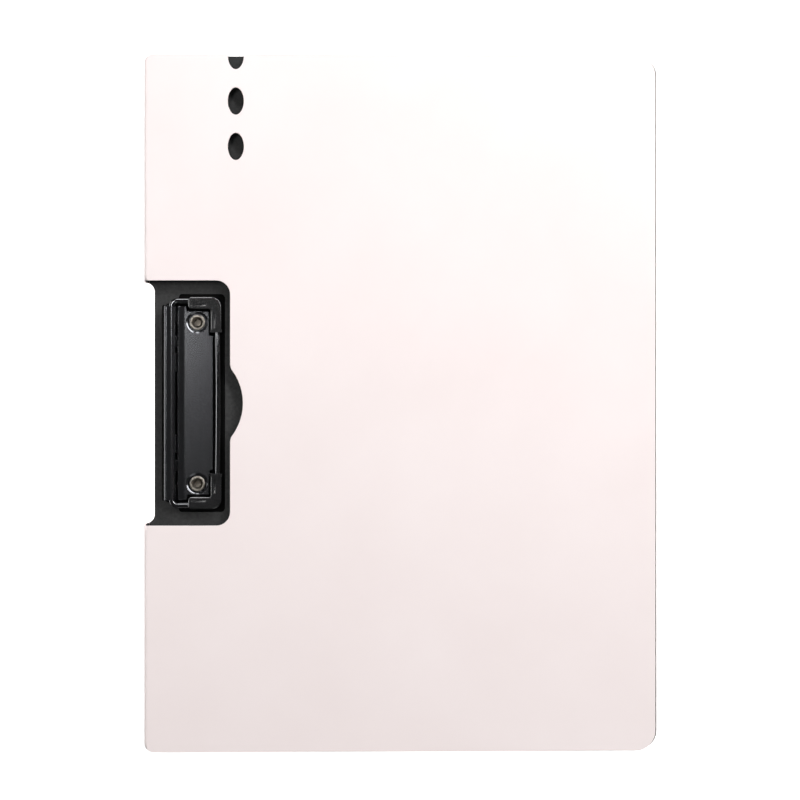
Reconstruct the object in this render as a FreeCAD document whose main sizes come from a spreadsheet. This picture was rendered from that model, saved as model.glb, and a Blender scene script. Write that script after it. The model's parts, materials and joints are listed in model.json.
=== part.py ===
import FreeCAD, Part
import math
import os
import re
import Sketcher

# A4 clipboard with a fold-over front cover.  The board lies flat with its back on the ground
# plane.  +X runs from the spine to the free edge, +Y to the pen-hole end and +Z is up through
# the closed cover.  Every length is in millimetres and every angle in degrees.

Vector = FreeCAD.Vector

DIMENSIONS = [
    ("half_length", 157.5, "half of the folder's length, along Y"),
    ("half_width", 116.0, "half of the folder's width, along X"),
    ("skin_thick", 0.8, "outer plastic skin of the panels and the spine"),
    ("board_thick", 2.2, "stiff core of the back panel"),
    ("liner_thick", 0.7, "inner liner of the front cover and the spine"),
    ("spine_width", 8.0, "distance between the two crease axes"),
    ("crease_gap", 0.9, "from a crease axis to the stiff skin beside it"),
    ("web_thick", 0.6, "thinned skin in a crease"),
    ("board_gap", 0.3, "space between the spine's liner and the back core"),
    ("spine_corner", 4.5, "corner radius beside the spine"),
    ("free_corner", 9.0, "corner radius at the free edge"),
    ("spine_inset", 4.1, "each end of the spine stops this far from the folder's end"),
    ("crease_inset", 2.7, "each end of a crease stops this far from the folder's end"),
    ("cover_short", 0.7, "the closed cover's free edge stops this far inside the back panel's"),
    ("cover_tilt", 1.02, "fall of the closed cover towards its free edge"),
    ("window_half", 55.3, "half of the length of the cover's cut-out"),
    ("window_depth", 38.8, "from the spine's face to the far edge of the cover's cut-out"),
    ("window_corner", 6.2, "corner radius of the cover's cut-out"),
    ("thumb_half", 16.0, "half of the mouth of the thumb notch in the cut-out's far edge"),
    ("thumb_reach", 11.6, "reach of the thumb notch's sharp point, before it is rounded"),
    ("thumb_radius", 24.8, "radius of the thumb notch"),
    ("thumb_blend", 5.0, "radius where the thumb notch meets the cut-out's edge"),
    ("notch_half", 54.5, "half of the length of the notch in the back panel and the spine"),
    ("notch_depth", 4.1, "from the spine's face to the bottom of the back panel's notch"),
    ("notch_corner", 4.0, "corner radius of the back panel's notch"),
    ("hole_wide", 7.2, "width of a pen hole"),
    ("hole_tall", 12.2, "length of a pen hole"),
    ("hole_inset", 41.4, "from the spine's face to the middle of the pen holes"),
    ("hole_first", 0.7, "from the folder's end to the middle of the first pen hole"),
    ("hole_pitch", 20.5, "from one pen hole to the next"),
    ("pad_thick", 0.4, "foam pad under the clip, sunk flush into the back core"),
    ("pad_front", 23.7, "from the pivot to the pad's front edge"),
    ("pad_rear", 4.7, "from the pivot to the pad's rear edge"),
    ("pad_half", 49.4, "half of the pad's length"),
    ("pad_rear_half", 44.4, "half of the length of the pad's rear edge"),
    ("pad_front_corner", 1.8, "radius of the pad's front corners"),
    ("pad_rear_corner", 0.6, "radius of the pad's rear corners"),
    ("pad_shoulder", 1.0, "radius of the pad's other corners"),
    ("shoulder_rear", 3.2, "from the pivot to the rear end of the pad's sloping shoulder"),
    ("shoulder_front", 2.6, "from the pivot to the front end of the pad's sloping shoulder"),
    ("shoulder_half", 47.6, "half of the pad's length at the shoulder's front end"),
    ("shoulder_run", 0.8, "from the shoulder's front end to the pad's end, along X"),
    ("sheet_thick", 0.8, "sheet steel of the clip's base and lever"),
    ("pivot_inset", 12.3, "from the spine's face to the clip's pivot axis"),
    ("pivot_rise", 3.0, "height of the pivot axis above the back core"),
    ("pin_radius", 1.0, "hinge pin"),
    ("pin_half", 36.1, "half of the hinge pin's length"),
    ("running_fit", 0.05, "radial clearance of the lever's knuckles on the pin"),
    ("plate_rise", 1.95, "top of the clip's base above the back core"),
    ("plate_rear", 2.3, "from the pivot to the base's rear edge"),
    ("ramp_foot", 4.2, "from the pivot to the corner where the base turns up to its rear edge"),
    ("ramp_slope", 26.0, "slope of the base's upturned rear edge"),
    ("ramp_bend", 7.0, "bend radius of the base's upturned rear edge"),
    ("plate_front", 18.6, "from the pivot to the base's front edge"),
    ("plate_step", 17.0, "from the pivot to the base's front edge beside a corner grip"),
    ("plate_ear", 6.8, "from the pivot to the front of the base's end tab"),
    ("front_half", 30.6, "half of the length of the base's front edge"),
    ("step_half", 41.8, "half of the base's length beside the corner grips"),
    ("ear_half", 44.1, "half of the base's length over its end tabs"),
    ("edge_round", 0.55, "bend radius along the base's edges"),
    ("plate_corner", 0.8, "radius of the base's outer corners in plan"),
    ("plate_nook", 0.3, "radius of the base's inner corners in plan"),
    ("step_corner", 0.9, "radius of the base's corners beside the rivets"),
    ("dimple_top", 5.0, "radius of a rivet dimple at the base's top"),
    ("dimple_wall", 0.2, "wall of a rivet dimple at the base's top"),
    ("dimple_lip", 4.2, "radius of a rivet dimple where its sloping lip meets its wall"),
    ("lip_drop", 0.42, "depth of the lip of a rivet dimple"),
    ("dimple_floor", 3.9, "radius of a rivet dimple at its floor"),
    ("rivet_reach", 11.3, "from the pivot to the rivets"),
    ("rivet_half", 36.55, "half of the distance between the rivets"),
    ("rivet_hole", 2.35, "radius of a rivet's hole"),
    ("rivet_shank", 2.3, "radius of a rivet's shank"),
    ("rivet_head", 4.2, "radius of a rivet's flat head, at the back"),
    ("rivet_flare", 3.5, "radius of a rivet's rolled end, at the front"),
    ("flare_rise", 0.95, "height of a rivet's rolled end above the dimple's floor"),
    ("funnel_mouth", 2.6, "radius of the mouth of a rivet's hollow end"),
    ("funnel_bore", 1.6, "radius of a rivet's blind bore"),
    ("bore_depth", 1.6, "depth of a rivet's blind bore below the dimple's floor"),
    ("throat_drop", 0.24, "sharp foot of a rivet's funnel below the dimple's floor"),
    ("head_round", 0.3, "edge radius of a rivet's flat head"),
    ("flare_foot", 0.15, "edge radius at the foot of a rivet's rolled end"),
    ("flare_round", 0.55, "edge radius at the top of a rivet's rolled end"),
    ("mouth_round", 0.25, "edge radius at the mouth of a rivet's hollow end"),
    ("throat_round", 0.4, "radius where a rivet's funnel meets its bore"),
    ("bore_round", 0.2, "corner radius at the bottom of a rivet's bore"),
    ("knuckle_radius", 1.85, "outer radius of a knuckle round the pin"),
    ("base_knuckle_start", 25.4, "inner end of a base knuckle"),
    ("base_knuckle_long", 5.3, "length of a base knuckle"),
    ("lever_knuckle_start", 31.0, "inner end of a lever knuckle"),
    ("lever_knuckle_long", 5.2, "length of a lever knuckle"),
    ("middle_knuckle_long", 6.0, "length of the lever's middle knuckle"),
    ("wire_socket_start", 36.8, "inner end of the socket that holds an end of the bail"),
    ("wire_socket_wall", 0.8, "wall of the socket that holds an end of the bail"),
    ("lever_half", 43.65, "half of the lever's length"),
    ("lever_front", 1.85, "from the pivot to the lever's front face"),
    ("lever_rear", 2.8, "from the pivot to the lever's rear rim"),
    ("lever_foot", 2.25, "lower edge of the lever's front face above the pivot"),
    ("lever_top", 6.54, "sharp rear corner of the lever's top above the pivot"),
    ("top_fall", 11.2, "slope of the lever's top, down towards its front face"),
    ("lever_lean", 0.35, "the front face leans back by this much at its top"),
    ("lever_rim", 2.0, "depth of the lever's rear rim"),
    ("lever_crown", 2.2, "bend radius from the front face to the lever's top"),
    ("rim_bend", 1.1, "bend radius from the lever's top to its rear rim"),
    ("cheek_drop", 2.1, "the lever's end cheeks reach this far below the pivot"),
    ("cheek_round", 2.0, "corner radius at the foot of an end cheek"),
    ("wire_radius", 1.3, "bail wire"),
    ("bail_dip", 2.37, "fall of the bail from the pivot to its front run"),
    ("bail_start", 38.5, "end of the bail wire, from the middle"),
    ("bail_half", 46.3, "half of the distance between the bail's arms"),
    ("bail_reach", 20.4, "from the pivot to the bail's front run, at its ends"),
    ("bail_bow", 0.6, "outward bow of the bail's front run at its middle"),
    ("bail_exit_bend", 2.6, "bend radius where the bail leaves the lever"),
    ("bail_corner_bend", 4.0, "bend radius at the bail's front corners"),
    ("bail_bow_radius", 1500.0, "radius of the front run's bow"),
    ("grip_rear", 7.5, "from the pivot to the rear end of a corner grip"),
    ("grip_front", 22.4, "from the pivot to the front of a corner grip"),
    ("grip_arm_inner", 17.7, "from the pivot to the inner side of a grip's front arm"),
    ("grip_arm_end", 31.9, "end of a grip's front arm, from the middle"),
    ("grip_side_inner", 42.5, "inner side of a grip's side arm, from the middle"),
    ("grip_side_outer", 47.9, "outer side of a grip's side arm, from the middle"),
    ("grip_below", 2.0, "grip below the wire's plane"),
    ("grip_above", 2.1, "grip above the wire's plane"),
    ("grip_corner", 4.2, "outer corner radius of a grip"),
    ("grip_end_round", 1.2, "corner radius at a grip's ends"),
    ("arm_end_round", 0.4, "corner radius at the end of a grip's front arm"),
    ("bevel_wide", 0.42, "width in plan of the bevel along a grip's top edges"),
    ("bevel_deep", 0.24, "depth of the bevel along a grip's top edges"),
    ("lip_long", 1.3, "length of the raised lip at the end of a grip's front arm"),
    ("lip_proud", 0.35, "the lip stands this far proud of the arm"),
    ("groove_radius", 0.5, "radius of the round groove along each arm of a grip"),
    ("groove_lift", 0.15, "middle of a groove above the grip's top"),
    ("groove_long", 6.8, "length of a groove"),
    ("groove_inset", 1.7, "from an arm's inner side to its groove"),
    ("groove_start", 34.0, "inner end of the groove along a grip's front arm"),
    ("groove_rear", 8.8, "from the pivot to the rear end of the groove along a grip's side arm"),
    ("spring_wire", 0.4, "radius of the torsion springs' wire"),
    ("spring_coil", 1.7, "mean radius of the torsion springs"),
    ("spring_pitch", 0.95, "advance of the torsion springs in one turn"),
    ("spring_turns", 8, "whole turns of the torsion springs"),
    ("spring_start", 14.5, "inner end of a torsion spring, from the middle"),
    ("lever_leg_angle", 35.0, "where a spring's lever leg meets its coil"),
    ("lever_leg_long", 3.6, "length of a spring's lever leg"),
    ("base_leg_angle", -75.0, "where a spring's base leg meets its coil"),
    ("base_leg_long", 3.2, "length of a spring's base leg"),
    ("cut_length", 40.0, "length of a cut that goes right through a sub-part"),
    ("cut_margin", 1.0, "a cut starts this far outside what it cuts"),
]

PEN_HOLES = 3
FLAT = 0.99  # a face whose normal rises more than this counts as flat
FACES_UP = 0.5  # and one whose normal rises more than this faces up

ALIASES = {alias for alias, value, meaning in DIMENSIONS}

# Heights and places that several sub-parts share, as formulas of the sheet.
BOARD_TOP = "(skin_thick + board_thick)"
CREASE_X = "(skin_thick / 2 - half_width)"
UPPER_CREASE_Z = "(skin_thick / 2 + spine_width)"
PIVOT_X = "(pivot_inset - half_width)"
PIVOT_Z = f"({BOARD_TOP} + pivot_rise)"
SPINE_SIDE = "(-half_width - cut_margin)"


def formula(text):
    """Give each sheet alias in the text the sheet's name, as an expression needs."""
    return re.sub(r"[a-z][a-z_]*", lambda word: qualified(word.group(0)), text)


def qualified(word):
    return f"dim.{word}" if word in ALIASES else word


def value(item, text):
    """Work a formula out as a number."""
    return float(item.evalExpression(formula(text)))


def make_sheet(doc):
    sheet = doc.addObject("Spreadsheet::Sheet", "dim")
    for row, (alias, number, meaning) in enumerate(DIMENSIONS, start=1):
        sheet.set(f"A{row}", alias)
        sheet.set(f"B{row}", str(number))
        sheet.set(f"C{row}", meaning)
        sheet.setAlias(f"B{row}", alias)
    doc.recompute()


def bind(item, prop, text):
    item.setExpression(prop, formula(text))


def place(item, x="0", y="0", z="0", axis=None, angle="0"):
    """Bind an object's place, and its turn about one axis, to the sheet."""
    if axis is not None:
        item.Placement = FreeCAD.Placement(Vector(), FreeCAD.Rotation(axis, 1))
        bind(item, "Placement.Rotation.Angle", angle)
    for letter, text in (("x", x), ("y", y), ("z", z)):
        bind(item, f"Placement.Base.{letter}", text)


def new_body(doc, name, **placing):
    body = doc.addObject("PartDesign::Body", name)
    place(body, **placing)
    return body


def origin_plane(body, role):
    return next(part for part in body.Origin.OriginFeatures if part.Role == role)


def attach(item, body, role, x="0", y="0", z="0"):
    """Lay a sketch or a primitive on one of its body's origin planes, shifted by x, y and z."""
    item.AttachmentSupport = [(origin_plane(body, role), "")]
    item.MapMode = "FlatFace"
    for letter, text in (("x", x), ("y", y), ("z", z)):
        bind(item, f"AttachmentOffset.Base.{letter}", text)


def new_sketch(body, name, role, **shift):
    sketch = body.newObject("Sketcher::SketchObject", name)
    attach(sketch, body, role, **shift)
    return sketch


def fix_point(sketch, geometry, position, x, y):
    """Hold one point of the sketch at a place given by two formulas."""
    for kind, text in (("DistanceX", x), ("DistanceY", y)):
        place_now = value(sketch, text)
        rule = Sketcher.Constraint(kind, -1, 1, geometry, position, place_now)
        bind(sketch, f"Constraints[{sketch.addConstraint(rule)}]", text)


def fix_radius(sketch, geometry, text):
    rule = Sketcher.Constraint("Radius", geometry, value(sketch, text))
    bind(sketch, f"Constraints[{sketch.addConstraint(rule)}]", text)


def round_corner(sketch, line_in, line_out, corner, towards_in, towards_out, text):
    """Put a tangent arc between two lines; the sharp corner stays as a construction point."""
    radius = value(sketch, text)
    half_angle = towards_in.getAngle(towards_out) / 2
    middle = (towards_in + towards_out).normalize()
    centre = corner + middle * (radius / math.sin(half_angle))
    reach = radius / math.tan(half_angle)
    first = corner + towards_in * reach - centre
    last = corner + towards_out * reach - centre
    turns_left = first.cross(last).z > 0
    start, end = (first, last) if turns_left else (last, first)
    angles = [math.atan2(ray.y, ray.x) for ray in (start, end)]
    circle = Part.Circle(centre, Vector(0, 0, 1), radius)
    arc = sketch.addGeometry(Part.ArcOfCircle(circle, *angles))
    near_in, near_out = (1, 2) if turns_left else (2, 1)
    sketch.addConstraint(Sketcher.Constraint("Tangent", line_in, 2, arc, near_in))
    sketch.addConstraint(Sketcher.Constraint("Tangent", arc, near_out, line_out, 1))
    fix_radius(sketch, arc, text)
    point = sketch.addGeometry(Part.Point(corner), True)
    sketch.addConstraint(Sketcher.Constraint("PointOnObject", point, 1, line_in))
    sketch.addConstraint(Sketcher.Constraint("PointOnObject", point, 1, line_out))
    return point


def draw_path(sketch, corners, closed):
    """Draw straight runs through corners (x, y, rounding); each number is a formula."""
    points = [Vector(value(sketch, x), value(sketch, y), 0) for x, y, rounding in corners]
    radii = [value(sketch, rounding) for x, y, rounding in corners]
    count = len(corners)
    runs = count if closed else count - 1
    trims = [0.0] * count
    rays = []
    for index, point in enumerate(points):
        back = (points[index - 1] - point).normalize()
        ahead = (points[(index + 1) % count] - point).normalize()
        rays.append((back, ahead))
        if radii[index] > 0:
            trims[index] = radii[index] / math.tan(back.getAngle(ahead) / 2)
    lines = []
    for index in range(runs):
        following = (index + 1) % count
        start = points[index] + rays[index][1] * trims[index]
        end = points[following] + rays[following][0] * trims[following]
        lines.append(sketch.addGeometry(Part.LineSegment(start, end)))
    for index, (x, y, rounding) in enumerate(corners):
        if not closed and index in (0, count - 1):
            line, position = (lines[0], 1) if index == 0 else (lines[-1], 2)
        elif radii[index] > 0:
            towards_in, towards_out = rays[index]
            line = round_corner(sketch, lines[index - 1], lines[index], points[index],
                                towards_in, towards_out, rounding)
            position = 1
        else:
            line, position = lines[index], 1
            rule = Sketcher.Constraint("Coincident", lines[index - 1], 2, line, 1)
            sketch.addConstraint(rule)
        fix_point(sketch, line, position, x, y)


def draw_circle(sketch, x, y, radius):
    centre = Vector(value(sketch, x), value(sketch, y), 0)
    circle = sketch.addGeometry(Part.Circle(centre, Vector(0, 0, 1), value(sketch, radius)))
    fix_point(sketch, circle, 3, x, y)
    fix_radius(sketch, circle, radius)


def draw_tall_ellipse(sketch, x, y, wide, tall):
    """Draw an ellipse whose long axis lies along Y."""
    centre = Vector(value(sketch, x), value(sketch, y), 0)
    top = centre + Vector(0, value(sketch, tall) / 2, 0)
    side = centre + Vector(-value(sketch, wide) / 2, 0, 0)
    ellipse = sketch.addGeometry(Part.Ellipse(top, side, centre))
    sketch.exposeInternalGeometry(ellipse)
    long_axis, short_axis = ellipse + 1, ellipse + 2
    sketch.addConstraint(Sketcher.Constraint("Vertical", long_axis))
    for axis, text in ((long_axis, tall), (short_axis, wide)):
        rule = Sketcher.Constraint("Distance", axis, value(sketch, text))
        bind(sketch, f"Constraints[{sketch.addConstraint(rule)}]", text)
    fix_point(sketch, ellipse, 3, x, y)


def pad(body, sketch, length, both_ways=False):
    feature = body.newObject("PartDesign::Pad", f"{sketch.Name}_pad")
    feature.Profile = sketch
    feature.SideType = "Symmetric" if both_ways else "One side"
    bind(feature, "Length", length)
    body.Document.recompute()
    return feature


def cut(body, sketch, depth, side="One side", upwards=False):
    """Cut a sketch into the body, down or up from its plane or equally both ways."""
    before = body.Shape.Volume
    feature = body.newObject("PartDesign::Pocket", f"{sketch.Name}_cut")
    feature.Profile = sketch
    feature.SideType = side
    feature.Reversed = upwards
    bind(feature, "Length", depth)
    body.Document.recompute()
    require(body.Shape.Volume < before, f"{sketch.Name} cuts nothing")


def cut_through(body, sketch):
    """Cut a sketch through the whole body, both ways from its plane."""
    cut(body, sketch, "cut_length", side="Symmetric")


def primitive(body, kind, name, role, shift, **sizes):
    """Add a PartDesign primitive on an origin plane, with its sizes bound to the sheet."""
    feature = body.newObject(f"PartDesign::{kind}", name)
    attach(feature, body, role, *shift)
    for prop, text in sizes.items():
        bind(feature, prop, text)


def both_ends(start, length):
    """Where two equal features start along Y: one at each side of the middle."""
    return (("upper", f"-({start}) - ({length})"), ("lower", start))


def top_face(shape):
    """Name of the shape's highest flat face."""
    faces = shape.Faces
    flat = [index for index, face in enumerate(faces) if face.normalAt(0, 0).z > FLAT]
    highest = max(flat, key=lambda index: faces[index].CenterOfMass.z)
    return f"Face{highest + 1}"


def wall_edges(shape):
    """Names of the edges where an upright wall meets a surface that faces up."""
    names = []
    for index, edge in enumerate(shape.Edges, start=1):
        middle = edge.valueAt((edge.FirstParameter + edge.LastParameter) / 2)
        heights = []
        for face in shape.ancestorsOfType(edge, Part.Face):
            heights.append(face.normalAt(*face.Surface.parameter(middle)).z)
        if min(map(abs, heights)) < 1 - FLAT and max(heights) > FACES_UP:
            names.append(f"Edge{index}")
    return names


def mirrored_copy(doc, name, source):
    """Make the -Y twin of a +Y sub-part."""
    twin = doc.addObject("Part::Mirroring", name)
    twin.Source = source
    twin.Normal = Vector(0, 1, 0)
    return twin


def require(condition, message):
    if not condition:
        raise RuntimeError(message)


def rectangle(x_low, x_high, y_low, y_high, rounding="0"):
    return [
        (x_low, y_low, rounding),
        (x_high, y_low, rounding),
        (x_high, y_high, rounding),
        (x_low, y_high, rounding),
    ]


def panel_outline(spine_face, free_edge):
    """Whole outline of a panel, from the spine's outer face to the panel's free edge."""
    return [
        (spine_face, "-half_length", "spine_corner"),
        (free_edge, "-half_length", "free_corner"),
        (free_edge, "half_length", "free_corner"),
        (spine_face, "half_length", "spine_corner"),
    ]


def trim_spine_side(body, name, outer, inner):
    """Cut the strip of a panel that belongs to the crease and the spine."""
    sketch = new_sketch(body, name, "XY_Plane")
    end = "half_length + cut_margin"
    draw_path(sketch, rectangle(outer, inner, f"-({end})", end), True)
    cut_through(body, sketch)


def cut_back_notch(body, name):
    """Cut the lever's notch into the spine side of the back panel."""
    inner = "notch_depth - half_width"
    corners = [
        (SPINE_SIDE, "-notch_half", "0"),
        (inner, "-notch_half", "notch_corner"),
        (inner, "notch_half", "notch_corner"),
        (SPINE_SIDE, "notch_half", "0"),
    ]
    sketch = new_sketch(body, name, "XY_Plane")
    draw_path(sketch, corners, True)
    cut_through(body, sketch)


def cut_rivet_holes(body, name, radius):
    sketch = new_sketch(body, name, "XY_Plane")
    for side in ("-rivet_half", "rivet_half"):
        draw_circle(sketch, f"{PIVOT_X} + rivet_reach", side, radius)
    cut_through(body, sketch)


def make_back_skin(doc):
    body = new_body(doc, "back_skin")
    outline = new_sketch(body, "back_skin_outline", "XY_Plane")
    draw_path(outline, panel_outline("-half_width", "half_width"), True)
    pad(body, outline, "skin_thick")
    trim_spine_side(body, "back_skin_trim", SPINE_SIDE, f"{CREASE_X} + crease_gap")
    cut_back_notch(body, "back_skin_notch")
    cut_rivet_holes(body, "back_skin_recess", "rivet_head + running_fit")
    return body


def make_back_board(doc):
    body = new_body(doc, "back_board", z="skin_thick")
    outline = new_sketch(body, "back_board_outline", "XY_Plane")
    draw_path(outline, panel_outline("-half_width", "half_width"), True)
    pad(body, outline, "board_thick")
    edge = "skin_thick + liner_thick + board_gap - half_width"
    trim_spine_side(body, "back_board_trim", SPINE_SIDE, edge)
    cut_back_notch(body, "back_board_notch")
    cut_rivet_holes(body, "back_board_holes", "rivet_hole")
    recess = new_sketch(body, "pad_recess", "XY_Plane", z="board_thick")
    draw_path(recess, pad_outline(), True)
    cut(body, recess, "pad_thick")
    return body


def pad_outline():
    """Outline of the pad under the clip: narrower behind the pivot, with sloping shoulders."""
    half = [
        (f"{PIVOT_X} - pad_rear", "pad_rear_half", "pad_rear_corner"),
        (f"{PIVOT_X} - shoulder_rear", "pad_rear_half", "pad_shoulder"),
        (f"{PIVOT_X} + shoulder_front", "shoulder_half", "pad_shoulder"),
        (f"{PIVOT_X} + shoulder_front + shoulder_run", "pad_half", "pad_shoulder"),
        (f"{PIVOT_X} + pad_front", "pad_half", "pad_front_corner"),
    ]
    lower = [(x, f"-{y}", rounding) for x, y, rounding in half]
    return lower + half[::-1]


def make_clip_pad(doc):
    """Thin foam pad, sunk flush into the back core under the whole clip."""
    body = new_body(doc, "clip_pad", z=f"{BOARD_TOP} - pad_thick")
    outline = new_sketch(body, "clip_pad_outline", "XY_Plane")
    draw_path(outline, pad_outline(), True)
    pad(body, outline, "pad_thick")
    cut_rivet_holes(body, "clip_pad_holes", "rivet_hole")
    return body


def make_spine_layer(doc, name, outer, inner):
    """One layer of the spine's +Y strip, standing between the two creases."""
    body = new_body(doc, name, z="skin_thick / 2 + crease_gap")
    outline = new_sketch(body, f"{name}_outline", "XY_Plane")
    strip = rectangle(outer, inner, "notch_half", "half_length - spine_inset")
    draw_path(outline, strip, True)
    pad(body, outline, "spine_width - 2 * crease_gap")
    return body


def make_cover_layer(doc, name, low, thick, spine_side):
    """One layer of the front cover, in a frame whose X starts at the upper crease axis."""
    tilt_axis = Vector(0, 1, 0)
    body = new_body(doc, name, x=CREASE_X, z=UPPER_CREASE_Z, axis=tilt_axis, angle="cover_tilt")
    outline = new_sketch(body, f"{name}_outline", "XY_Plane", z=low)
    free_edge = "2 * half_width - skin_thick / 2 - cover_short"
    draw_path(outline, panel_outline("-skin_thick / 2", free_edge), True)
    pad(body, outline, thick)
    trim_spine_side(body, f"{name}_trim", "-skin_thick / 2 - cut_margin", spine_side)
    cut_cover_window(body, name)
    cut_pen_holes(body, name)
    return body


def cut_cover_window(body, name):
    """Cut the clip's opening, with the thumb notch in its far edge."""
    near = "-skin_thick / 2 - cut_margin"
    far = "window_depth - skin_thick / 2"
    corners = [
        (near, "-window_half", "0"),
        (far, "-window_half", "window_corner"),
        (far, "-thumb_half", "thumb_blend"),
        (f"{far} + thumb_reach", "0", "thumb_radius"),
        (far, "thumb_half", "thumb_blend"),
        (far, "window_half", "window_corner"),
        (near, "window_half", "0"),
    ]
    sketch = new_sketch(body, f"{name}_window", "XY_Plane")
    draw_path(sketch, corners, True)
    cut_through(body, sketch)


def cut_pen_holes(body, name):
    """Cut the three oval pen holes; the first one breaks out at the cover's end."""
    middle = "hole_inset - skin_thick / 2"
    sketch = new_sketch(body, f"{name}_pen_holes", "XY_Plane")
    for index in range(PEN_HOLES):
        height = f"half_length - hole_first - {index} * hole_pitch"
        draw_tall_ellipse(sketch, middle, height, "hole_wide", "hole_tall")
    cut_through(body, sketch)


def make_crease(doc, name, bend, first_angle, sweep, x, z, start):
    """A thin web bent about Y: a sector of a tube between a panel's skin and the spine's."""
    along_y = FreeCAD.Rotation(Vector(1, 0, 0), 90)
    length = f"half_length - crease_inset - {start}"
    tubes = []
    radii = (("outer", f"{bend} + web_thick / 2"), ("inner", f"{bend} - web_thick / 2"))
    for layer, radius in radii:
        tube = doc.addObject("Part::Cylinder", f"{name}_{layer}")
        bind(tube, "Radius", radius)
        bind(tube, "Height", length)
        bind(tube, "Angle", sweep)
        turn = FreeCAD.Rotation(Vector(0, 1, 0), -value(tube, first_angle))
        tube.Placement = FreeCAD.Placement(Vector(), turn.multiply(along_y))
        place(tube, x=x, y="half_length - crease_inset", z=z)
        tubes.append(tube)
    web = doc.addObject("Part::Cut", name)
    web.Base, web.Tool = tubes
    return web


def make_back_crease(doc):
    return make_crease(doc, "back_crease_upper", "crease_gap", "180", "90",
                       f"{CREASE_X} + crease_gap", "skin_thick / 2 + crease_gap", "notch_half")


def make_front_crease(doc):
    bend = "(crease_gap * tan((90 - cover_tilt) * 0.5 * 1deg))"
    return make_crease(doc, "front_crease_upper", bend, "90 - cover_tilt", "90 + cover_tilt",
                       f"{CREASE_X} + {bend}", f"{UPPER_CREASE_Z} - crease_gap", "window_half")


def base_outline(inset):
    """Outline of the clip's base, moved inwards by a formula at its front and ends."""
    half = [
        ("plate_rear", f"ear_half - {inset}", "plate_corner"),
        (f"plate_ear - {inset}", f"ear_half - {inset}", "plate_corner"),
        (f"plate_ear - {inset}", f"step_half - {inset}", "plate_nook"),
        (f"plate_step - {inset}", f"step_half - {inset}", "step_corner"),
        (f"plate_step - {inset}", f"front_half - {inset}", "plate_nook"),
        (f"plate_front - {inset}", f"front_half - {inset}", "plate_corner"),
    ]
    lower = [(x, f"-({y})", rounding) for x, y, rounding in half]
    return lower + half[::-1]


def base_section(front, rear, depth):
    """Side view of the base, as a block whose top lies at a depth below the real top."""
    lean = "tan(ramp_slope * 0.5 * 1deg)"
    rear_top = f"plate_rise + (ramp_foot - ({rear})) * tan(ramp_slope * 1deg)"
    return [
        (rear, "0", "0"),
        (front, "0", "0"),
        (front, f"plate_rise - {depth}", "0"),
        (f"ramp_foot - {depth} * {lean}", f"plate_rise - {depth}", f"ramp_bend + {depth}"),
        (rear, f"{rear_top} - {depth} / cos(ramp_slope * 1deg)", "0"),
    ]


def add_dimple(body, side, middle):
    """A drawn dish that brings the base down to the back core, with the rivet's hole."""
    primitive(body, "AdditiveCylinder", f"dimple_cup_{side}", "XY_Plane",
              ("rivet_reach", middle, "0"),
              Radius="dimple_top + dimple_wall", Height="plate_rise")
    primitive(body, "SubtractiveCone", f"dimple_dish_{side}", "XY_Plane",
              ("rivet_reach", middle, "sheet_thick"), Radius1="dimple_floor",
              Radius2="dimple_lip", Height="plate_rise - sheet_thick - lip_drop")
    primitive(body, "SubtractiveCone", f"dimple_lip_{side}", "XY_Plane",
              ("rivet_reach", middle, "plate_rise - lip_drop"),
              Radius1="dimple_lip", Radius2="dimple_top", Height="lip_drop")
    primitive(body, "SubtractiveCylinder", f"dimple_hole_{side}", "XY_Plane",
              ("rivet_reach", middle, "0"), Radius="rivet_hole", Height="plate_rise")


def add_base_knuckle(body, side, start):
    """A tongue from the base's rear edge, rolled round the pin from below."""
    primitive(body, "AdditiveBox", f"knuckle_tongue_{side}", "XZ_Plane",
              ("knuckle_radius - sheet_thick", "pivot_rise - sheet_thick", start),
              Length="plate_rear + running_fit - knuckle_radius + sheet_thick",
              Width="sheet_thick", Height="base_knuckle_long")
    primitive(body, "AdditiveCylinder", f"knuckle_roll_{side}", "XZ_Plane",
              ("0", "pivot_rise", start), Radius="knuckle_radius", Height="base_knuckle_long")
    primitive(body, "SubtractiveCylinder", f"knuckle_bore_{side}", "XZ_Plane",
              ("0", "pivot_rise", start), Radius="pin_radius", Height="base_knuckle_long")


def make_clip_base(doc):
    """Folded sheet base: plate with skirts and upturned rear, two dimples, two knuckles."""
    body = new_body(doc, "clip_base", x=PIVOT_X, z=BOARD_TOP)
    section = new_sketch(body, "clip_base_section", "XZ_Plane")
    draw_path(section, base_section("plate_front", "plate_rear", "0"), True)
    pad(body, section, "2 * ear_half", both_ways=True)
    outline = new_sketch(body, "clip_base_outline", "XY_Plane")
    draw_path(outline, base_outline("0"), True)
    outside = rectangle("plate_rear - cut_margin", "plate_front + cut_margin",
                        "-ear_half - cut_margin", "ear_half + cut_margin")
    draw_path(outline, outside, True)
    cut_through(body, outline)
    block = body.Tip
    bends = body.newObject("PartDesign::Fillet", "clip_base_bends")
    bends.Base = (block, wall_edges(block.Shape))
    bind(bends, "Radius", "edge_round")
    doc.recompute()
    hollow = new_sketch(body, "clip_base_hollow", "XY_Plane")
    inner = base_outline("sheet_thick")
    for end in (0, -1):
        inner[end] = ("plate_rear - cut_margin", inner[end][1], "0")
    draw_path(hollow, inner, True)
    cut(body, hollow, "plate_rise - sheet_thick", upwards=True)
    ramp = new_sketch(body, "clip_base_ramp_hollow", "XZ_Plane")
    under = base_section("plate_ear - sheet_thick", "plate_rear - cut_margin", "sheet_thick")
    draw_path(ramp, under, True)
    cut(body, ramp, "2 * (ear_half - sheet_thick)", side="Symmetric")
    for side, middle in (("upper", "rivet_half"), ("lower", "-rivet_half")):
        add_dimple(body, side, middle)
    for side, start in both_ends("base_knuckle_start", "base_knuckle_long"):
        add_base_knuckle(body, side, start)
    return body


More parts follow.
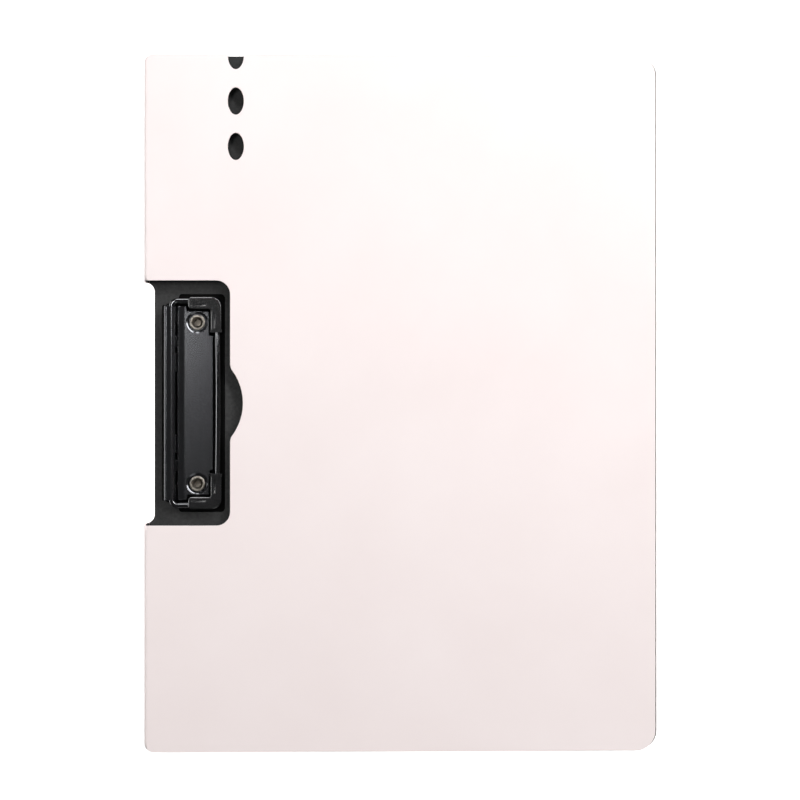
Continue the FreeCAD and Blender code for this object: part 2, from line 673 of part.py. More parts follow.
def lever_height(x, depth="0"):
    """Height of the lever's sloping top at a place along X, or of a line below it."""
    fall = f"(lever_rear + {x}) * tan(top_fall * 1deg)"
    return f"lever_top - {fall} - {depth} / cos(top_fall * 1deg)"


def lever_section():
    """Bent sheet of the lever: front face, crowned top and turned-down rear rim."""
    outer = "lever_front - lever_lean"
    inner = f"{outer} - sheet_thick"
    rear = "sheet_thick - lever_rear"
    return [
        ("lever_front", "lever_foot", "0"),
        (outer, lever_height(outer), "lever_crown"),
        ("-lever_rear", "lever_top", "rim_bend"),
        ("-lever_rear", "lever_top - lever_rim", "0"),
        (rear, "lever_top - lever_rim", "0"),
        (rear, lever_height(rear, "sheet_thick"), "rim_bend - sheet_thick"),
        (inner, lever_height(inner, "sheet_thick"), "lever_crown - sheet_thick"),
        ("lever_front - sheet_thick", "lever_foot", "0"),
    ]


def cheek_section():
    """End cheek of the lever: it closes the section and carries one end of the bail."""
    front = "lever_front - lever_lean"
    return [
        ("cheek_drop", "-cheek_drop", "cheek_round"),
        (front, lever_height(front), "lever_crown"),
        ("-lever_rear", "lever_top", "rim_bend"),
        ("-lever_rear", "pivot_rise", "rim_bend"),
        ("-cheek_drop", "-cheek_drop", "cheek_round"),
    ]


def add_lever_knuckle(body, name, start, length, outer, bore):
    """A roll round the pivot axis, joined to the lever's front face by a link."""
    primitive(body, "AdditiveCylinder", f"{name}_roll", "XZ_Plane", ("0", "0", start),
              Radius=outer, Height=length)
    primitive(body, "AdditiveBox", f"{name}_link", "XZ_Plane",
              ("lever_front - sheet_thick", "0", start),
              Length="sheet_thick", Width="lever_foot + sheet_thick", Height=length)
    primitive(body, "SubtractiveCylinder", f"{name}_bore", "XZ_Plane", ("0", "0", start),
              Radius=bore, Height=length)


def make_clip_lever(doc):
    """Bent sheet lever with end cheeks, three knuckles on the pin and two wire sockets."""
    body = new_body(doc, "clip_lever", x=PIVOT_X, z=PIVOT_Z)
    section = new_sketch(body, "clip_lever_section", "XZ_Plane")
    draw_path(section, lever_section(), True)
    pad(body, section, "2 * lever_half", both_ways=True)
    for side, start in both_ends("lever_half - sheet_thick", "sheet_thick"):
        cheek = new_sketch(body, f"clip_lever_cheek_{side}", "XZ_Plane", z=start)
        draw_path(cheek, cheek_section(), True)
        pad(body, cheek, "sheet_thick")
    pin_bore = "pin_radius + running_fit"
    add_lever_knuckle(body, "middle_knuckle", "-middle_knuckle_long / 2",
                      "middle_knuckle_long", "knuckle_radius", pin_bore)
    for side, start in both_ends("lever_knuckle_start", "lever_knuckle_long"):
        add_lever_knuckle(body, f"end_knuckle_{side}", start, "lever_knuckle_long",
                          "knuckle_radius", pin_bore)
    socket_long = "lever_half - wire_socket_start"
    for side, start in both_ends("wire_socket_start", socket_long):
        add_lever_knuckle(body, f"wire_socket_{side}", start, socket_long,
                          "wire_radius + wire_socket_wall", "wire_radius")
    return body


def make_hinge_pin(doc):
    body = new_body(doc, "hinge_pin", x=PIVOT_X, z=PIVOT_Z)
    section = new_sketch(body, "hinge_pin_section", "XZ_Plane")
    draw_circle(section, "0", "0", "pin_radius")
    pad(body, section, "2 * pin_half", both_ways=True)
    return body


def jaw_placing():
    """Placing of what lies in the bail's plane, which falls from the pivot to the front run."""
    return {"x": PIVOT_X, "z": PIVOT_Z, "axis": Vector(0, 1, 0), "angle": "bail_dip"}


def make_bail_wire(doc):
    """One round wire: both ends on the pivot axis, two side arms and a bowed front run."""
    body = new_body(doc, "bail_wire", **jaw_placing())
    half = [
        ("0", "bail_start", "0"),
        ("0", "bail_half", "bail_exit_bend"),
        ("bail_reach", "bail_half", "bail_corner_bend"),
    ]
    lower = [(x, f"-{y}", rounding) for x, y, rounding in half]
    middle = [("bail_reach + bail_bow", "0", "bail_bow_radius")]
    path = new_sketch(body, "bail_wire_path", "XY_Plane")
    draw_path(path, lower + middle + half[::-1], False)
    section = new_sketch(body, "bail_wire_section", "XZ_Plane", z="bail_start")
    draw_circle(section, "0", "0", "wire_radius")
    doc.recompute()
    sweep = body.newObject("PartDesign::AdditivePipe", "bail_wire_sweep")
    sweep.Profile = section
    sweep.Spine = (path, [f"Edge{index + 1}" for index in range(len(path.Shape.Edges))])
    doc.recompute()
    return body


def make_corner_grip(doc, bail):
    """Moulded corner grip: an L-shaped sleeve over one front corner of the bail."""
    body = new_body(doc, "corner_grip_mould", **jaw_placing())
    outline = new_sketch(body, "corner_grip_outline", "XY_Plane", z="-grip_below")
    corners = [
        ("grip_rear", "grip_side_inner", "grip_end_round"),
        ("grip_arm_inner", "grip_side_inner", "grip_end_round"),
        ("grip_arm_inner", "grip_arm_end", "arm_end_round"),
        ("grip_front", "grip_arm_end", "arm_end_round"),
        ("grip_front", "grip_side_outer", "grip_corner"),
        ("grip_rear", "grip_side_outer", "grip_end_round"),
    ]
    draw_path(outline, corners, True)
    block = pad(body, outline, "grip_below + grip_above")
    bevel = body.newObject("PartDesign::Chamfer", "corner_grip_bevel")
    bevel.Base = (block, [top_face(block.Shape)])
    bevel.ChamferType = "Two distances"
    bind(bevel, "Size", "bevel_deep")
    bind(bevel, "Size2", "bevel_wide")
    doc.recompute()
    primitive(body, "AdditiveBox", "corner_grip_lip", "XY_Plane",
              ("grip_arm_inner - lip_proud", "grip_arm_end", "-grip_below"),
              Length="grip_front - grip_arm_inner + 2 * lip_proud", Width="lip_long",
              Height="grip_below + grip_above")
    level = "grip_above + groove_lift"
    primitive(body, "SubtractiveCylinder", "front_arm_groove", "XZ_Plane",
              ("grip_arm_inner + groove_inset", level, "-groove_start - groove_long"),
              Radius="groove_radius", Height="groove_long")
    primitive(body, "SubtractiveCylinder", "side_arm_groove", "YZ_Plane",
              ("grip_side_inner + groove_inset", level, "groove_rear"),
              Radius="groove_radius", Height="groove_long")
    grip = doc.addObject("Part::Cut", "corner_grip_upper")
    grip.Base = body
    grip.Tool = bail
    return grip


def make_rivet(doc):
    """Semi-tubular rivet: flat head at the back, rolled and hollow end in the dimple."""
    body = new_body(doc, "rivet_upper", x=f"{PIVOT_X} + rivet_reach", y="rivet_half")
    seat = f"({BOARD_TOP} + sheet_thick)"
    corners = [
        ("0", "0", "0"),
        ("rivet_head", "0", "head_round"),
        ("rivet_head", "skin_thick", "0"),
        ("rivet_shank", "skin_thick", "0"),
        ("rivet_shank", seat, "0"),
        ("rivet_flare", seat, "flare_foot"),
        ("rivet_flare", f"{seat} + flare_rise", "flare_round"),
        ("funnel_mouth", f"{seat} + flare_rise", "mouth_round"),
        ("funnel_bore", f"{seat} - throat_drop", "throat_round"),
        ("funnel_bore", f"{seat} - bore_depth", "bore_round"),
        ("0", f"{seat} - bore_depth", "0"),
    ]
    profile = new_sketch(body, "rivet_profile", "XZ_Plane")
    draw_path(profile, corners, True)
    doc.recompute()
    turned = body.newObject("PartDesign::Revolution", "rivet_turned")
    turned.Profile = profile
    turned.ReferenceAxis = (profile, ["V_Axis"])
    turned.Angle = 360
    doc.recompute()
    return body


def make_torsion_spring(doc):
    """Helical torsion spring round the pin, with one straight leg at each end."""
    spring = doc.addObject("Part::Feature", "torsion_spring_upper")
    coil = value(spring, "spring_coil")
    pitch = value(spring, "spring_pitch")
    first = value(spring, "lever_leg_angle")
    last = value(spring, "base_leg_angle")
    turns = value(spring, "spring_turns") + (first - last) / 360
    helix = Part.makeHelix(pitch, pitch * turns, coil)
    slope = math.atan2(pitch, 2 * math.pi * coil)
    ends = (
        (0, -value(spring, "lever_leg_long")),
        (math.radians(360 * turns), value(spring, "base_leg_long")),
    )
    legs = []
    for angle, length in ends:
        foot = Vector(coil * math.cos(angle), coil * math.sin(angle),
                      pitch * angle / (2 * math.pi))
        heading = Vector(-math.sin(angle) * math.cos(slope), math.cos(angle) * math.cos(slope),
                         math.sin(slope))
        legs.append((foot, heading, Part.makeLine(foot, foot + heading * length)))
    path = Part.Wire(Part.__sortEdges__([legs[0][2]] + helix.Edges + [legs[1][2]]))
    tip = legs[0][0] - legs[0][1] * value(spring, "lever_leg_long")
    section = Part.Wire(Part.makeCircle(value(spring, "spring_wire"), tip, legs[0][1]))
    spring.Shape = path.makePipeShell([section], True, True)
    helix_to_pin = FreeCAD.Rotation(Vector(1, 0, 0), -90)
    start_turn = FreeCAD.Rotation(Vector(0, 1, 0), -first)
    spot = Vector(value(spring, PIVOT_X), value(spring, "spring_start"), value(spring, PIVOT_Z))
    spring.Placement = FreeCAD.Placement(spot, start_turn.multiply(helix_to_pin))
    return spring


def build(doc):
    """Build every sub-part, in the order in which the object is put together."""
    bail = make_bail_wire(doc)
    twins = [
        make_spine_layer(doc, "spine_skin_upper", "-half_width", "skin_thick - half_width"),
        make_spine_layer(doc, "spine_liner_upper", "skin_thick - half_width",
                         "skin_thick + liner_thick - half_width"),
        make_back_crease(doc),
        make_front_crease(doc),
        make_torsion_spring(doc),
        make_corner_grip(doc, bail),
        make_rivet(doc),
    ]
    liner_low = "-skin_thick / 2 - liner_thick"
    singles = [
        make_back_skin(doc),
        make_back_board(doc),
        make_clip_pad(doc),
        make_cover_layer(doc, "front_skin", "-skin_thick / 2", "skin_thick", "crease_gap"),
        make_cover_layer(doc, "front_liner", liner_low, "liner_thick",
                         "crease_gap + skin_thick"),
        make_clip_base(doc),
        make_clip_lever(doc),
        make_hinge_pin(doc),
        bail,
    ]
    lowers = [mirrored_copy(doc, twin.Name.replace("_upper", "_lower"), twin) for twin in twins]
    doc.recompute()
    return singles + twins + lowers


def check(doc, sub_parts):
    """Stop on any failed object, and on any sub-part that isn't one sound solid."""
    for item in doc.Objects:
        failed = "Invalid" in item.State or "Error" in item.State
        require(not failed, f"{item.Name} failed: {item.State}")
    for sub_part in sub_parts:
        shape = sub_part.Shape
        sound = not shape.isNull() and shape.isValid() and len(shape.Solids) == 1
        require(sound, f"{sub_part.Name} isn't one sound solid")


def main():
    os.makedirs("parts", exist_ok=True)
    doc = FreeCAD.newDocument("clipboard")
    make_sheet(doc)
    sub_parts = build(doc)
    check(doc, sub_parts)
    for sub_part in sub_parts:
        sub_part.Label = sub_part.Name
        sub_part.Shape.exportStep(f"parts/{sub_part.Label}.step")
        box = sub_part.Shape.BoundBox
        print(f"{sub_part.Label:24s} {sub_part.Shape.Volume:10.1f} mm3 "
              f"x {box.XMin:8.2f} {box.XMax:8.2f} y {box.YMin:8.2f} {box.YMax:8.2f} "
              f"z {box.ZMin:6.2f} {box.ZMax:6.2f}")


main()
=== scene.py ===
import json
import math

import bmesh
import bpy
from mathutils import Matrix, Vector


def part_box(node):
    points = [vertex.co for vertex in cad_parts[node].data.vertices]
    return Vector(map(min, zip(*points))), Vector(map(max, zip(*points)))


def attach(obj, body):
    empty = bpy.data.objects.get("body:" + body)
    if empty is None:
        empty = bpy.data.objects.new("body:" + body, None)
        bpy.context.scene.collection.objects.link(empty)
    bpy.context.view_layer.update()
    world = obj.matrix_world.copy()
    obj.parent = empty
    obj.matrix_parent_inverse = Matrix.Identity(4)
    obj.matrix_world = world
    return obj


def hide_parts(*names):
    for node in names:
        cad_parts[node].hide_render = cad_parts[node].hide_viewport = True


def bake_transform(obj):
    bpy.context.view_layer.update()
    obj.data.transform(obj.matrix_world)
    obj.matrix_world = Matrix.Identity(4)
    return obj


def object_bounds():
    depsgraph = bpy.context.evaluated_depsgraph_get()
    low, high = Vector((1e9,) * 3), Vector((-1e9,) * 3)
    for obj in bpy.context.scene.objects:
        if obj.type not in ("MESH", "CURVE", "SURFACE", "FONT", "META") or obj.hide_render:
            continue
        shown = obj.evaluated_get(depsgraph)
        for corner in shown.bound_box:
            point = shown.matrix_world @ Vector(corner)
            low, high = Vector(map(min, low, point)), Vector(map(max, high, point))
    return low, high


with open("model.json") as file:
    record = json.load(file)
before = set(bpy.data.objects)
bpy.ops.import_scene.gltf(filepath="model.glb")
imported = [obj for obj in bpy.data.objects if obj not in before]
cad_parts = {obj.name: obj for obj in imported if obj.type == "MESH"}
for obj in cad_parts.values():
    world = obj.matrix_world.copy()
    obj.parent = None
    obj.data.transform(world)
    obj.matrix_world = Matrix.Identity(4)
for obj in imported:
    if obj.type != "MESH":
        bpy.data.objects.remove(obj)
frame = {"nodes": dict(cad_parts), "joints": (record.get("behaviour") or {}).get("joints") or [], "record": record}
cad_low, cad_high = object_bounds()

# A folded A4 clipboard, seen from straight above.  All lengths are in metres.
MM = 0.001

# Sizes that the frame doesn't state as boxes.
SKIN = 0.8 * MM                  # thickness of the pink skins
WEB = 0.6 * MM                   # thickness of a crease web
CREASE_GAP = 0.9 * MM            # from a crease axis to the stiff skins
SPINE_CORNER = 4.5 * MM          # plan radius of the folder's corners at the spine
COVER_TILT = math.radians(1.02)  # slope of the closed cover, down from the spine
SHEET = 0.8 * MM                 # sheet steel of the clip
FOLDED_COVER = 26 * MM           # room under the board for the spine and cover folded behind it

SIDES = (("upper", 1), ("lower", -1))    # the twins: name and sign of Y
RIGHT, UP, DOWN = Vector((1, 0, 0)), Vector((0, 0, 1)), Vector((0, 0, -1))

joints = {joint["name"]: joint for joint in frame["joints"]}


def joint_point(name):
    """Where a joint's axis crosses the middle plane."""
    return Vector(joints[name]["pos_m"])


# ---------------------------------------------------------------- mesh helpers

LEAST_ARC_STEPS = 6
WIRE_END = ((0.0, 1.0), (0.35, 0.3), (1.0, 0.0))    # (way inward, radius lost), both in end roundings


def mesh_object(name, build):
    """Make an object from a function that fills a bmesh."""
    mesh = bpy.data.meshes.new(name)
    grid = bmesh.new()
    build(grid)
    bmesh.ops.recalc_face_normals(grid, faces=grid.faces)
    grid.to_mesh(mesh)
    grid.free()
    mesh.shade_smooth()
    piece = bpy.data.objects.new(name, mesh)
    bpy.context.scene.collection.objects.link(piece)
    return piece


def bridge(grid, rings, caps=True):
    """Skin a list of closed vertex rings into a tube."""
    count = len(rings[0])
    for ring, following in zip(rings, rings[1:]):
        for index in range(count):
            after = (index + 1) % count
            grid.faces.new((ring[index], ring[after], following[after], following[index]))
    if caps:
        grid.faces.new(rings[0][::-1])
        grid.faces.new(rings[-1])


def circle(sides):
    """Cosine and sine of evenly spaced angles round a full turn."""
    angles = [2 * math.pi * index / sides for index in range(sides)]
    return [(math.cos(angle), math.sin(angle)) for angle in angles]


def tangent_arc(before, corner, after, radius, steps_per_turn):
    """Points of the arc that rounds the corner between two straight runs."""
    to_before = (before - corner).normalized()
    to_after = (after - corner).normalized()
    half = to_before.angle(to_after) / 2
    centre = corner + (to_before + to_after).normalized() * (radius / math.sin(half))
    start = corner + to_before * (radius / math.tan(half)) - centre
    axis = to_before.cross(to_after).normalized()
    turn = math.pi - 2 * half
    steps = max(LEAST_ARC_STEPS, round(steps_per_turn * turn / (2 * math.pi)))
    spins = [Matrix.Rotation(-turn * step / steps, 3, axis) for step in range(steps + 1)]
    return [centre + spin @ start for spin in spins]


def round_path(corners, steps_per_turn=0):
    """Points of a path of straight runs and tangent arcs, from (point, radius) corners."""
    points = [corners[0][0]]
    for (before, _), (corner, radius), (after, _) in zip(corners, corners[1:], corners[2:]):
        if radius > 0:
            points += tangent_arc(before, corner, after, radius, steps_per_turn)
        else:
            points.append(corner)
    points.append(corners[-1][0])
    return points


def sweep(grid, points, radius, sides, end_round):
    """Round wire along a path, with its ring carried along without twist and its ends rounded."""
    last = len(points) - 1
    side = (points[1] - points[0]).normalized().orthogonal().normalized()
    stations = []
    for index, point in enumerate(points):
        tangent = (points[min(index + 1, last)] - points[max(index - 1, 0)]).normalized()
        side = (side - tangent * side.dot(tangent)).normalized()
        stations.append((point, tangent, side, tangent.cross(side)))
    layers = [(stations[0], end_round * inward, radius - end_round * lost)
              for inward, lost in WIRE_END]
    layers += [(station, 0.0, radius) for station in stations[1:-1]]
    layers += [(stations[-1], -end_round * inward, radius - end_round * lost)
               for inward, lost in reversed(WIRE_END)]
    rings = []
    for (point, tangent, side, up), shift, reach in layers:
        rings.append([grid.verts.new(point + tangent * shift + side * (cosine * reach)
                                     + up * (sine * reach)) for cosine, sine in circle(sides)])
    bridge(grid, rings)


def lathe(grid, profile, centre, sides=96):
    """Turn a profile of points, with the radius as X and the height as Z, about a vertical axis."""
    rings = []
    for point in profile:
        rings.append([grid.verts.new(centre + Vector((point.x * cosine, point.x * sine, point.z)))
                      for cosine, sine in circle(sides)])
    bridge(grid, rings)


# ---------------------------------------------------------------- materials

MIX_A, MIX_B, MIX_RESULT = 6, 7, 2    # the colour sockets of a Mix node


def grey(level):
    return (level, level, level)


class Surface:
    """A procedural material under construction, in the object's own metres."""

    def __init__(self, name, roughness, metallic=0.0, specular=0.5):
        self.material = bpy.data.materials.new(name)
        self.material.use_nodes = True
        self.nodes = self.material.node_tree.nodes
        self.links = self.material.node_tree.links
        self.shader = self.nodes["Principled BSDF"]
        self.set("Roughness", roughness)
        self.set("Metallic", metallic)
        self.set("Specular IOR Level", specular)
        self.place = self.nodes.new("ShaderNodeTexCoord").outputs["Object"]

    def set(self, socket, number):
        """Give a socket of the shader a constant."""
        self.shader.inputs[socket].default_value = number

    def node(self, kind, **inputs):
        """Add a node; an input is a constant or another node's output."""
        made = self.nodes.new(f"ShaderNode{kind}")
        for name, given in inputs.items():
            socket = made.inputs[name.replace("_", " ")]
            if isinstance(given, bpy.types.NodeSocket):
                self.links.new(given, socket)
            else:
                socket.default_value = given
        return made

    def noise(self, size, detail=4.0, roughness=0.55, stretch=None):
        """Noise whose features are about size metres across."""
        place = self.place
        if stretch is not None:
            place = self.node("Mapping", Vector=place, Scale=stretch).outputs["Vector"]
        made = self.node("TexNoise", Vector=place, Scale=1 / size, Detail=detail,
                         Roughness=roughness)
        return made.outputs["Fac"]

    def ramp(self, fac, *stops):
        """Colour ramp through two (position, colour) stops."""
        made = self.node("ValToRGB", Fac=fac)
        for element, (position, colour) in zip(made.color_ramp.elements, stops):
            element.position = position
            element.color = (*colour, 1.0)
        return made.outputs["Color"]

    def remap(self, fac, low, high, to_low, to_high):
        """Carry the range low to high over to the range to_low to to_high."""
        made = self.node("MapRange", Value=fac, From_Min=low, From_Max=high,
                         To_Min=to_low, To_Max=to_high)
        return made.outputs["Result"]

    def colour(self, output):
        self.links.new(output, self.shader.inputs["Base Color"])

    def roughness(self, output):
        self.links.new(output, self.shader.inputs["Roughness"])

    def bump(self, *layers):
        """Stack bumps given as (height output, distance in metres, strength)."""
        normal = None
        for height, distance, strength in layers:
            made = self.node("Bump", Height=height, Distance=distance, Strength=strength)
            if normal is not None:
                self.links.new(normal, made.inputs["Normal"])
            normal = made.outputs["Normal"]
        self.links.new(normal, self.shader.inputs["Normal"])


def make_cover_plastic():
    """Pale pink moulded sheet: faint mottling, a fine matte grain and a soft sheen."""
    skin = Surface("cover_plastic_pink", 0.5, specular=0.35)
    cloud = skin.noise(60 * MM, detail=3.0)
    skin.colour(skin.ramp(cloud, (0.3, (0.902, 0.806, 0.794)), (0.7, (0.927, 0.836, 0.826))))
    grain = skin.noise(0.35 * MM, detail=3.0, roughness=0.6)
    skin.roughness(skin.remap(skin.noise(7 * MM), 0.35, 0.65, 0.46, 0.56))
    skin.bump((grain, 0.02 * MM, 0.35), (skin.noise(25 * MM, detail=2.0), 0.15 * MM, 0.2))
    return skin.material


def make_board_black():
    """Black writing face: satin sheet with a fine even grain."""
    board = Surface("board_black_sheet", 0.55, specular=0.1)
    fleck = board.noise(1.2 * MM, detail=5.0)
    board.colour(board.ramp(fleck, (0.35, grey(0.036)), (0.7, grey(0.050))))
    grain = board.noise(0.25 * MM, detail=4.0, roughness=0.65)
    board.roughness(board.remap(board.noise(9 * MM), 0.35, 0.65, 0.48, 0.6))
    board.bump((grain, 0.03 * MM, 0.5))
    return board.material


def make_clip_lacquer(name, base, rough, gloss):
    """Black lacquer on steel: soft orange peel, a few fine rubs, and a clear coat where glossy."""
    coat = Surface(name, rough, specular=1.0)
    coat.set("Specular Tint", (0.93, 0.95, 1.0, 1.0))
    cloud = coat.noise(6 * MM, detail=5.0)
    coat.colour(coat.ramp(cloud, (0.3, base), (0.75, tuple(part * 1.35 for part in base))))
    rub = coat.noise(0.9 * MM, detail=3.0, stretch=(1.0, 0.12, 1.0))
    coat.roughness(coat.remap(rub, 0.35, 0.7, rough * 0.97, rough * 1.04))
    peel = coat.noise(1.6 * MM, detail=1.0)
    coat.bump((peel, 0.02 * MM, 0.05))
    coat.set("Coat Weight", gloss)
    coat.set("Coat Roughness", 0.05)
    coat.set("Coat IOR", 1.7)
    return coat.material


def make_grip_plastic():
    """Satin black moulding of the corner grips, with a fine spark-eroded grain."""
    grip = Surface("grip_plastic_black", 0.17, specular=0.9)
    cloud = grip.noise(3 * MM, detail=4.0)
    grip.colour(grip.ramp(cloud, (0.3, (0.007, 0.007, 0.0075)), (0.7, (0.011, 0.011, 0.0115))))
    grip.roughness(grip.remap(grip.noise(1.5 * MM), 0.35, 0.65, 0.15, 0.19))
    grain = grip.noise(0.8 * MM, detail=2.0)
    grip.bump((grain, 0.01 * MM, 0.1))
    return grip.material


def make_rivet_nickel():
    """Warm nickel plate with faint turning marks, and painted shade darkening it low down in the bore."""
    plate = Surface("rivet_nickel_plate", 0.22, metallic=1.0)
    cloud = plate.noise(1.6 * MM, detail=5.0)
    metal = plate.ramp(cloud, (0.3, (0.20, 0.18, 0.15)), (0.7, (0.33, 0.305, 0.27)))
    height = plate.node("SeparateXYZ", Vector=plate.place).outputs["Z"]
    # Painted shade: a near-black brown mixed in low down, darkening the bore and the inside of the rolled end.
    bore_shade = plate.node("Mix", Factor=plate.remap(height, 2.4 * MM, 4.5 * MM, 0.75, 0.0))
    bore_shade.data_type = "RGBA"
    plate.links.new(metal, bore_shade.inputs[MIX_A])
    bore_shade.inputs[MIX_B].default_value = (0.035, 0.028, 0.02, 1.0)
    plate.colour(bore_shade.outputs[MIX_RESULT])
    plate.roughness(plate.remap(plate.noise(0.5 * MM), 0.3, 0.7, 0.32, 0.48))
    plate.bump((plate.noise(0.3 * MM, detail=3.0), 0.01 * MM, 0.15))
    return plate.material


def make_bright_steel(name, colour, rough):
    """Drawn steel wire, with fine lines and a thin film of oil."""
    steel = Surface(name, rough, metallic=1.0)
    cloud = steel.noise(2 * MM, detail=5.0)
    steel.colour(steel.ramp(cloud, (0.3, colour), (0.7, tuple(part * 1.2 for part in colour))))
    steel.roughness(steel.remap(steel.noise(0.4 * MM), 0.3, 0.7, rough * 0.8, rough * 1.25))
    steel.bump((steel.noise(0.15 * MM, detail=2.0), 0.008 * MM, 0.4))
    return steel.material


def make_shade_pad():
    """Dull near-black pad of closed-cell bumps; its near-black colour is painted shade round the clip."""
    shade_pad = Surface("pad_black_painted_shade", 0.95, specular=0.08)
    cells = shade_pad.noise(0.5 * MM, detail=4.0, roughness=0.7)
    # Painted shade: this near-black colour stands for the deep shade in the band round the clip.
    shade_pad.colour(shade_pad.ramp(cells, (0.3, grey(0.0012)), (0.8, (0.0035, 0.0035, 0.0036))))
    shade_pad.bump((cells, 0.08 * MM, 0.6))
    return shade_pad.material


finishes = {
    "cover_plastic": make_cover_plastic(),
    "pad_foam": make_shade_pad(),
    "board_black": make_board_black(),
    "clip_steel": make_clip_lacquer("clip_lacquer_black", (0.005, 0.005, 0.0055), 0.19, 0.0),
    "bail_steel": make_clip_lacquer("bail_lacquer_black", (0.004, 0.004, 0.0045), 0.09, 1.0),
    "grip_plastic": make_grip_plastic(),
    "rivet_nickel": make_rivet_nickel(),
    "pin_steel": make_bright_steel("pin_steel_bright", (0.42, 0.42, 0.43), 0.25),
    "spring_steel": make_bright_steel("spring_steel_oiled", (0.24, 0.24, 0.25), 0.3),
}
finishes["liner_black"] = finishes["board_black"]
slot_of = {entry["node"]: entry["material_slot"] for entry in frame["record"]["subparts"]}


def finish_piece(piece, slot):
    """Give a piece made here the material of a slot."""
    piece.data.materials.clear()
    piece.data.materials.append(finishes[slot])


# ---------------------------------------------------------------- pieces kept from the CAD

# Radius of each piece's softened edges; a twin is listed without its side.
EDGE_ROUNDS = {
    "front_skin": 0.2 * MM,
    "front_liner": 0.12 * MM,
    "back_skin": 0.2 * MM,
    "back_board": 0.25 * MM,
    "clip_base": 0.035 * MM,
    "clip_lever": 0.09 * MM,
    "clip_pad": 0.1 * MM,
    "corner_grip": 0.08 * MM,
    "hinge_pin": 0.15 * MM,
    "spine_skin": 0.15 * MM,
    "spine_liner": 0.1 * MM,
}
# The lever's cheeks have outline steps shorter than its edge rounding, which would throw spikes
# from them.  Its wide weld gap joins those steps.
WELD_GAPS = {"clip_lever": 0.08 * MM}
PLAIN_WELD_GAP = 0.001 * MM


def soften_edges(piece, width, weld_gap):
    """Round the sharp edges of a carried-over node by a small real radius."""
    weld = piece.modifiers.new("weld", "WELD")
    weld.merge_threshold = weld_gap
    merge = piece.modifiers.new("flat_faces", "DECIMATE")
    merge.decimate_type = "DISSOLVE"
    merge.angle_limit = math.radians(0.4)
    bevel = piece.modifiers.new("edge_round", "BEVEL")
    bevel.limit_method = "ANGLE"
    bevel.angle_limit = math.radians(25)
    bevel.width = width
    bevel.segments = 3
    bevel.use_clamp_overlap = False
    bevel.miter_outer = "MITER_ARC"
    normals = piece.modifiers.new("normals", "WEIGHTED_NORMAL")
    normals.weight = 60
    normals.keep_sharp = False


for name, node in frame["nodes"].items():
    for slot in node.material_slots:
        slot.material = finishes[slot_of[name]]
    kind = name.removesuffix("_upper").removesuffix("_lower")
    if kind in EDGE_ROUNDS:
        soften_edges(node, EDGE_ROUNDS[kind], WELD_GAPS.get(kind, PLAIN_WELD_GAP))


# ---------------------------------------------------------------- bail wire

def make_bail():
    """The bail's wire, in the plane that falls from the pivot to the front run."""
    low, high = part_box("bail_wire")
    pivot = joint_point("clip_open")
    radius = pivot.x - low.x
    half_length = high.y - radius
    wire_end = 38.5 * MM                # from the middle to each end, in the lever
    reach = 20.4 * MM                   # from the pivot to the front run's ends
    bow = 0.6 * MM                      # the front run's middle stands out by this
    bow_radius = 1500 * MM
    rear_bend, front_bend = 2.6 * MM, 4.0 * MM
    dip = Matrix.Rotation(math.radians(2.37), 3, "Y")
    outline = [
        (0, -wire_end, 0), (0, -half_length, rear_bend), (reach, -half_length, front_bend),
        (reach + bow, 0, bow_radius),
        (reach, half_length, front_bend), (0, half_length, rear_bend), (0, wire_end, 0),
    ]
    corners = [(pivot + dip @ Vector((x, y, 0)), rounding) for x, y, rounding in outline]
    path = round_path(corners, steps_per_turn=96)
    wire = mesh_object("bail_wire_round",
                       lambda grid: sweep(grid, path, radius, sides=32, end_round=0.25 * MM))
    finish_piece(wire, "bail_steel")
    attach(wire, "clip_jaw")
    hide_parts("bail_wire")


make_bail()


# ---------------------------------------------------------------- rivets

ON_AXIS = 0.0001 * MM    # a radius too small to see, which closes a turned section


def make_rivet(node):
    """A semi-tubular rivet, turned from its section: flat head, rolled end, blind bore."""
    low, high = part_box(node)
    foot = Vector(((low.x + high.x) / 2, (low.y + high.y) / 2, low.z))
    head = (high.x - low.x) / 2
    shank, bore, rolled_end, lip = 2.3 * MM, 1.6 * MM, 3.6 * MM, 2.6 * MM    # radii
    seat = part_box("back_board")[1].z + SHEET
    top = high.z
    bore_floor = seat - 1.6 * MM
    section = [
        (ON_AXIS, 0, 0), (head, 0, 0.3 * MM), (head, SKIN, 0), (shank, SKIN, 0),
        (shank, seat, 0), (rolled_end, seat, 0.15 * MM), (rolled_end, top, 0.55 * MM),
        (lip, top, 0.25 * MM), (bore, seat - 0.24 * MM, 0.4 * MM),
        (bore, bore_floor, 0.2 * MM), (ON_AXIS, bore_floor, 0),
    ]
    profile = round_path([(Vector((radius, 0, height)), rounding)
                          for radius, height, rounding in section])
    rivet = mesh_object(f"{node}_turned", lambda grid: lathe(grid, profile, foot))
    finish_piece(rivet, "rivet_nickel")
    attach(rivet, "back")
    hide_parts(node)


for side, _ in SIDES:
    make_rivet(f"rivet_{side}")


# ---------------------------------------------------------------- torsion springs

